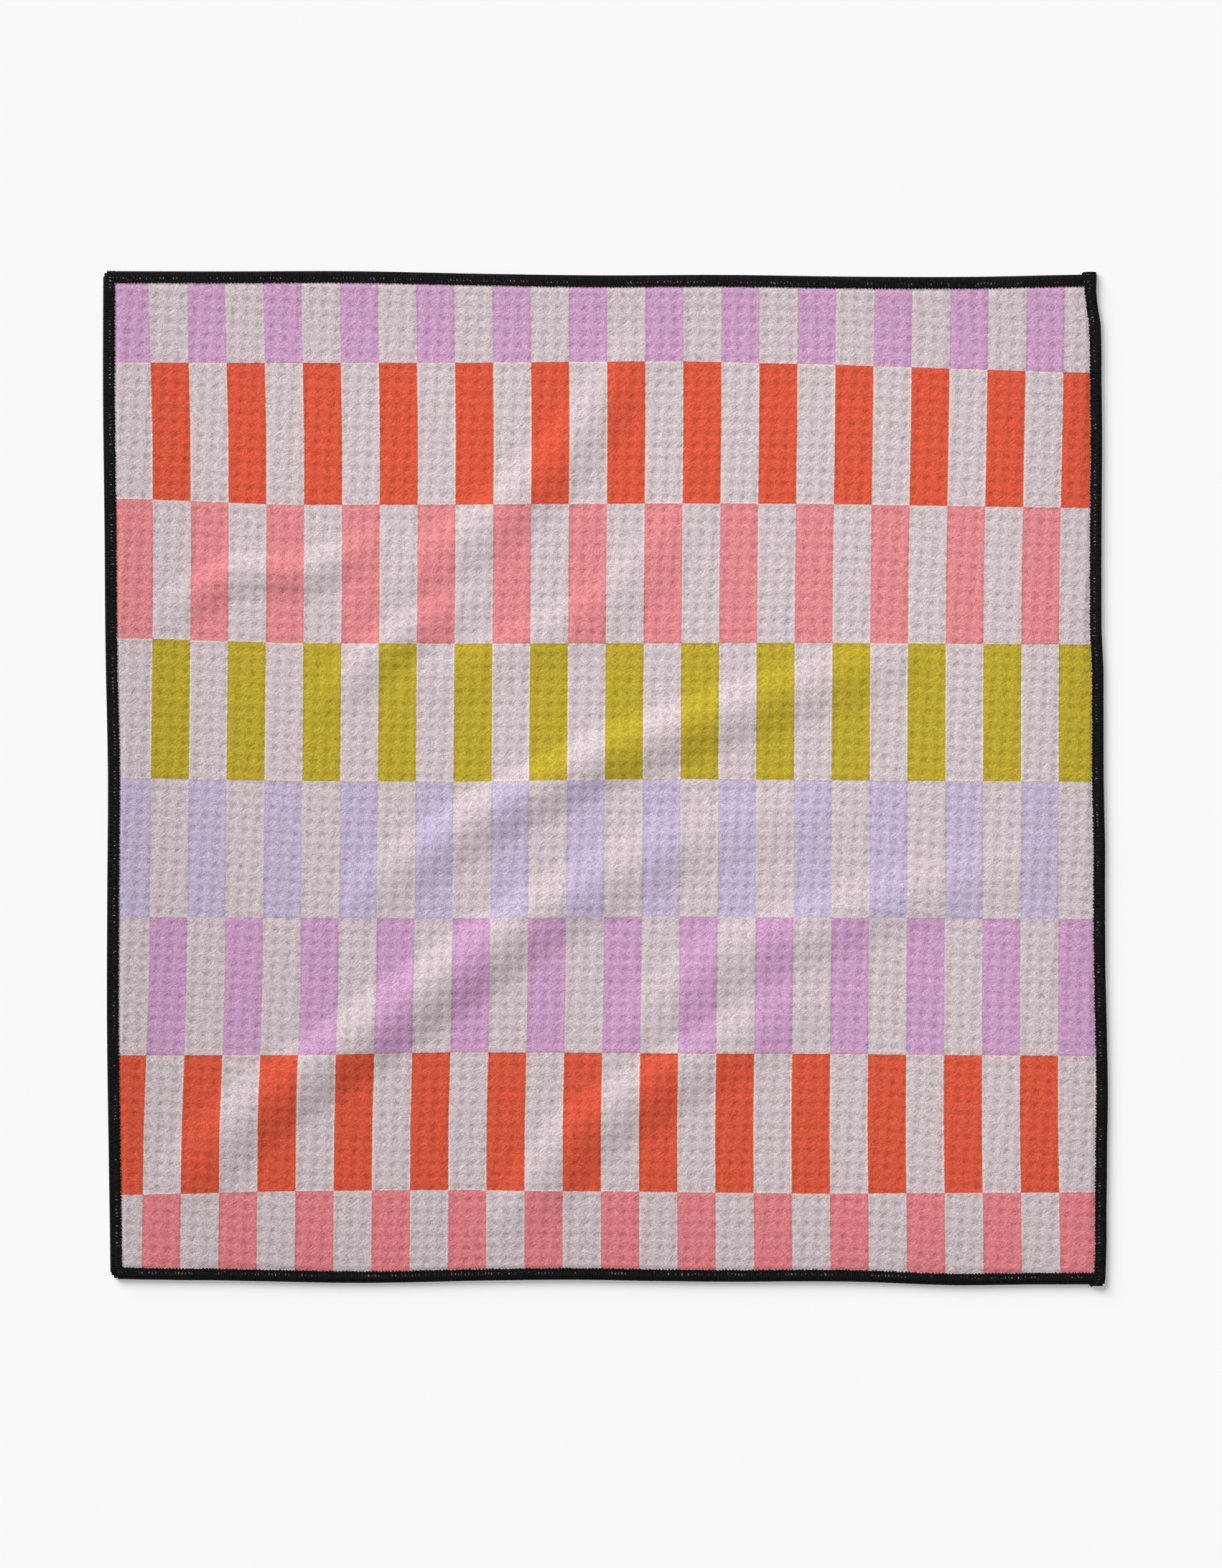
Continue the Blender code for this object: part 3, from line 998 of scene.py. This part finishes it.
def stitch_tree():
    """The node group that sets a stitch at even steps along a path, each a little different."""
    tree = bpy.data.node_groups.new("overlock_stitches", "GeometryNodeTree")
    wanted = {
        "Path": "Geometry",
        "Stitch": "Object",
        "Spacing": "Float",
        "Unevenness": "Float",
        "Shift": "Float",
        "Seed": "Int",
        "Material": "Material",
    }
    for name, kind in wanted.items():
        tree.interface.new_socket(name, in_out="INPUT", socket_type=f"NodeSocket{kind}")
    tree.interface.new_socket("Stitches", in_out="OUTPUT", socket_type="NodeSocketGeometry")
    graph = Graph(tree)
    given = {socket.name: Wire(graph, socket) for socket in graph.add("NodeGroupInput").outputs}
    uneven = given["Unevenness"]

    def chance(low, high, more):
        inputs = {2: low, 3: high, "Seed": given["Seed"] + more}
        return graph.wire("FunctionNodeRandomValue", 1, inputs, data_type="FLOAT")

    def stored(name):
        inputs = {"Name": name}
        return graph.wire("GeometryNodeInputNamedAttribute", 0, inputs, data_type="FLOAT")

    def step(kind, inputs, **settings):
        return graph.wire(f"GeometryNode{kind}", 0, inputs, **settings)

    curve = step("MeshToCurve", {"Mesh": given["Path"]})
    places = step("ResampleCurve", {"Curve": curve, "Length": given["Spacing"]}, mode="LENGTH")
    swing = stored("turn") + chance(-0.28, 0.28, 1) * uneven
    wide = 1.0 + chance(-1.0, 1.0, 2) * uneven
    long = stored("width_share") * (1.0 + chance(-0.30, 0.30, 3) * uneven)
    turned = graph.wire("FunctionNodeEulerToRotation", 0, {0: graph.vector(0.0, 0.0, swing)})
    stitch = graph.wire("GeometryNodeObjectInfo", "Geometry", {"Object": given["Stitch"]})
    placing = {
        "Points": places,
        "Instance": stitch,
        "Rotation": turned,
        "Scale": graph.vector(wide, long, 1.0),
    }
    placed = step("InstanceOnPoints", placing)
    shift = graph.vector(chance(-1.0, 1.0, 4) * given["Shift"], 0.0, 0.0)
    moved = step("TranslateInstances", {"Instances": placed, "Translation": shift})
    real = step("RealizeInstances", {0: moved})
    painted = step("SetMaterial", {"Geometry": real, "Material": given["Material"]})
    graph.add("NodeGroupOutput", {0: painted})
    return tree


def sew(context, name, side, stitch_data, material, seed_step):
    """Sews one kind of stitch along one side, and returns the plain mesh object of them."""
    settings = context.scene.towel_seam
    stitch = new_object(context, f"{name}_one", stitch_data)
    half_stitch = settings.spacing / 4 + settings.thread_width / 2
    path = new_object(context, name, seam_path(side, settings.width, half_stitch))
    modifier = path.modifiers.new("stitches", "NODES")
    modifier.node_group = bpy.data.node_groups.get("overlock_stitches") or stitch_tree()
    values = {
        "Stitch": stitch,
        "Spacing": settings.spacing,
        "Unevenness": settings.unevenness,
        "Shift": settings.spacing * settings.unevenness * 0.5,
        "Seed": settings.seed + seed_step,
        "Material": material,
    }
    for item in modifier.node_group.interface.items_tree:
        if item.item_type == "SOCKET" and item.name in values:
            modifier[item.identifier] = values[item.name]
    evaluated = path.evaluated_get(context.evaluated_depsgraph_get())
    plain = bpy.data.meshes.new_from_object(evaluated)
    if not plain.polygons:
        raise RuntimeError(f"no stitches were sewn for {name}")
    path.modifiers.remove(modifier)
    old = path.data
    path.data = plain
    plain.name = name
    for left_over in ("turn", "width_share"):
        if left_over in plain.attributes:
            plain.attributes.remove(plain.attributes[left_over])
    bpy.data.meshes.remove(old)
    bpy.data.objects.remove(stitch)
    return path


def thread_material(settings):
    """Black fluffy thread, with the fine slanted lines of its twist."""
    name = "black_woolly_thread"
    if name in bpy.data.materials:
        return bpy.data.materials[name]
    material, graph = new_material(name)
    along, around = graph.uv("thread")
    twist = ((along * 2.4 + around) * (4.0 * math.pi)).sine() * 0.5 + 0.5
    fluff = graph.noise(graph.vector(along * 3.0, around * 6.0), 3.0, 2.0)
    place = graph.add("ShaderNodeTexCoord").outputs["Object"]
    worn = graph.noise(place, 160.0, 2.0)
    height = twist * 0.6 + fluff * 0.4
    # Painted shade: the thread's colour is lighter where its twist and fluff stand high in the bump
    # and darker in their grooves, over random darker and lighter patches.
    shade = 0.65 + height * 0.45 + (worn - 0.5) * 0.7
    off_place = abs(along * settings.thread_width - settings.lint_at)
    off_top = abs(around - TOP_OF_THREAD)
    dash = graph.fall(off_place, 0.00026, 0.00050) * graph.fall(off_top, 0.03, 0.075)
    in_stretch = ((graph.noise(place, 95.0, 1.0) - 0.45) * 9.0).clamped()
    on_stitch = ((graph.noise(place, 820.0, 1.0) - 0.47) * 7.0).clamped()
    lint = dash * in_stretch * on_stitch * 0.80
    colour = graph.scaled((*settings.thread_colour,), shade)
    surface = {
        "Base Color": graph.mix(lint, colour, (*settings.lint_colour, 1.0)),
        "Roughness": 0.52 + fluff * 0.25,
        "Specular IOR Level": 0.10,
        "Normal": graph.bump(0.5, 0.00012, height),
    }
    close_material(graph, surface)
    return material


def light_with_pool(obj):
    """Lets the soft pool of light fall on a piece of the towel."""
    bpy.data.collections["lit_by_pool"].objects.link(obj)


def sew_all(context, kind, node_part, line, shares, size, seed_step):
    """Sews one kind of thread round all four sides, in place of its CAD solids."""
    material = thread_material(context.scene.towel_seam)
    for index, side in enumerate(SIDES):
        name = f"{side}_{kind}"
        stitch_data = thread_mesh(f"{name}_thread", line, shares, *size)
        piece = sew(context, name, side, stitch_data, material, seed_step + 10 * index)
        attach(piece, "root")
        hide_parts(f"{side}_{node_part}")
        light_with_pool(piece)


def sew_loopers(context, place, lower, seed_step):
    """Sews one of the two looper threads."""
    settings = context.scene.towel_seam
    size = (settings.thread_width, settings.thread_thickness, LOOPER_CORNERS)
    names = (f"{place}_looper_stitches", f"{place}_looper_thread")
    sew_all(context, *names, *looper_line(settings, lower), size, seed_step)


# -------- operators


class TOWEL_OT_stage(bpy.types.Operator):
    """Set up the pale floor, the soft light and the camera straight above"""

    bl_idname = "towel.stage"
    bl_label = "Stage"

    def execute(self, context):
        settings = context.scene.towel_stage
        self.add_floor(context, settings)
        self.add_lights(context, settings)
        self.add_camera(context, settings)
        context.scene.view_settings.view_transform = "Standard"
        return {"FINISHED"}

    def add_floor(self, context, settings):
        half = settings.floor_size / 2
        corners = [(-half, -half, 0.0), (half, -half, 0.0), (half, half, 0.0), (-half, half, 0.0)]
        mesh = bpy.data.meshes.new("studio_floor")
        mesh.from_pydata(corners, [], [(0, 1, 2, 3)])
        material, graph = new_material("pale_floor")
        place = graph.add("ShaderNodeTexCoord").outputs["Object"]
        shade = 0.998 + graph.noise(place, 3.0, 2.0) * 0.004
        surface = {
            "Base Color": graph.scaled(tuple(settings.floor_colour), shade),
            "Roughness": 1.0,
            "Specular IOR Level": 0.0,
        }
        close_material(graph, surface)
        mesh.materials.append(material)
        new_object(context, "studio_floor", mesh)

    def add_lights(self, context, settings):
        toward_key = Vector((1.0, 0.0, 0.0))
        toward_key.rotate(Euler((0.0, -settings.key_elevation, settings.key_azimuth)))
        overhead = Vector((0.0, 0.0, 1.0))
        suns = (
            ("key_light", settings.key_strength, settings.key_spread, toward_key),
            ("overhead_light", settings.overhead_strength, settings.overhead_spread, overhead),
        )
        for name, strength, spread, direction in suns:
            light = bpy.data.lights.new(name, "SUN")
            light.energy = strength
            light.angle = spread
            sun = new_object(context, name, light)
            sun.rotation_euler = direction.to_track_quat("Z", "Y").to_euler()
            sun.location = direction
        self.add_pool(context, settings)
        world = bpy.data.worlds.new("studio")
        world.use_nodes = True
        world.node_tree.nodes.clear()
        graph = Graph(world.node_tree)
        seen = graph.wire("ShaderNodeLightPath")
        brightness = seen * (settings.backdrop_strength - settings.fill_strength)
        sky = {"Color": (1.0, 1.0, 1.0, 1.0), "Strength": brightness + settings.fill_strength}
        background = graph.wire("ShaderNodeBackground", 0, sky)
        graph.add("ShaderNodeOutputWorld", {"Surface": background})
        context.scene.world = world

    def add_pool(self, context, settings):
        """A soft spotlight that falls on the towel alone, brightest up and right of its middle."""
        light = bpy.data.lights.new("pool_light", "SPOT")
        light.energy = settings.pool_power
        light.spot_size = settings.pool_spread
        light.spot_blend = 1.0
        light.shadow_soft_size = POOL_LAMP
        pool = new_object(context, "pool_light", light)
        pool.location = POOL_TARGET + POOL_OFFSET
        pool.rotation_euler = POOL_OFFSET.to_track_quat("Z", "Y").to_euler()
        lit = bpy.data.collections.new("lit_by_pool")
        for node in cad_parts.values():
            lit.objects.link(node)
        pool.light_linking.receiver_collection = lit

    def add_camera(self, context, settings):
        data = bpy.data.cameras.new("camera")
        data.sensor_fit = "HORIZONTAL"
        data.sensor_width = SENSOR_WIDTH
        data.lens = SENSOR_WIDTH * settings.camera_height / settings.view_width
        data.clip_end = 100.0
        camera = new_object(context, "camera", data)
        camera.location = (settings.aim_x, settings.aim_y, settings.camera_height)
        context.scene.camera = camera


class TOWEL_OT_upper_loopers(bpy.types.Operator):
    """Sew the upper looper thread over the face side of the four edges"""

    bl_idname = "towel.upper_loopers"
    bl_label = "Upper Looper Threads"

    def execute(self, context):
        sew_loopers(context, "upper", False, 0)
        return {"FINISHED"}


class TOWEL_OT_lower_loopers(bpy.types.Operator):
    """Sew the lower looper thread over the back of the four edges"""

    bl_idname = "towel.lower_loopers"
    bl_label = "Lower Looper Threads"

    def execute(self, context):
        sew_loopers(context, "lower", True, 100)
        return {"FINISHED"}


class TOWEL_OT_needle_threads(bpy.types.Operator):
    """Sew the needle thread along the inner border of the four seams"""

    bl_idname = "towel.needle_threads"
    bl_label = "Needle Threads"

    def execute(self, context):
        line = needle_line(context.scene.towel_seam)
        size = (*NEEDLE_SIZE, NEEDLE_CORNERS)
        sew_all(context, "needle_stitches", "needle_thread", line, [1.0] * len(line), size, 200)
        return {"FINISHED"}


class TOWEL_OT_cloth(bpy.types.Operator):
    bl_idname = "towel.cloth"
    bl_label = "Waffle Cloth"

    def execute(self, context):
        colours = print_colours(context.scene.towel_print)
        mesh = cloth_mesh(context.scene.towel_cloth)
        mesh.materials.append(cloth_material("printed_waffle_microfibre", colours, 1.0))
        mesh.materials.append(cloth_material("undyed_waffle_microfibre", colours, 0.10))
        cloth = new_object(context, "printed_waffle_cloth", mesh)
        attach(cloth, "root")
        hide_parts(PANEL_NODE)
        light_with_pool(cloth)
        return {"FINISHED"}


class TOWEL_PT_panel(bpy.types.Panel):
    """Lists the steps that build the towel"""

    bl_idname = "TOWEL_PT_panel"
    bl_label = "Golf Towel"
    bl_space_type = "VIEW_3D"
    bl_region_type = "UI"
    bl_category = "Golf Towel"

    def draw(self, context):
        for operator in OPERATORS:
            self.layout.operator(operator.bl_idname)
        for name in SETTINGS:
            settings = getattr(context.scene, name)
            box = self.layout.box()
            for key in settings.__annotations__:
                box.prop(settings, key)


SETTINGS = {
    "towel_cloth": TowelClothSettings,
    "towel_print": TowelPrintSettings,
    "towel_seam": TowelSeamSettings,
    "towel_stage": TowelStageSettings,
}
OPERATORS = (
    TOWEL_OT_stage,
    TOWEL_OT_upper_loopers,
    TOWEL_OT_lower_loopers,
    TOWEL_OT_needle_threads,
    TOWEL_OT_cloth,
)


def register():
    for cls in (*SETTINGS.values(), *OPERATORS, TOWEL_PT_panel):
        bpy.utils.register_class(cls)
    for name, group in SETTINGS.items():
        setattr(bpy.types.Scene, name, PointerProperty(type=group))


def unregister():
    for name in SETTINGS:
        delattr(bpy.types.Scene, name)
    for cls in (TOWEL_PT_panel, *reversed(OPERATORS), *SETTINGS.values()):
        bpy.utils.unregister_class(cls)


def main():
    register()
    read_edges()
    bpy.ops.towel.stage()
    bpy.ops.towel.upper_loopers()
    bpy.ops.towel.lower_loopers()
    bpy.ops.towel.needle_threads()
    bpy.ops.towel.cloth()


if __name__ == "__main__":
    main()
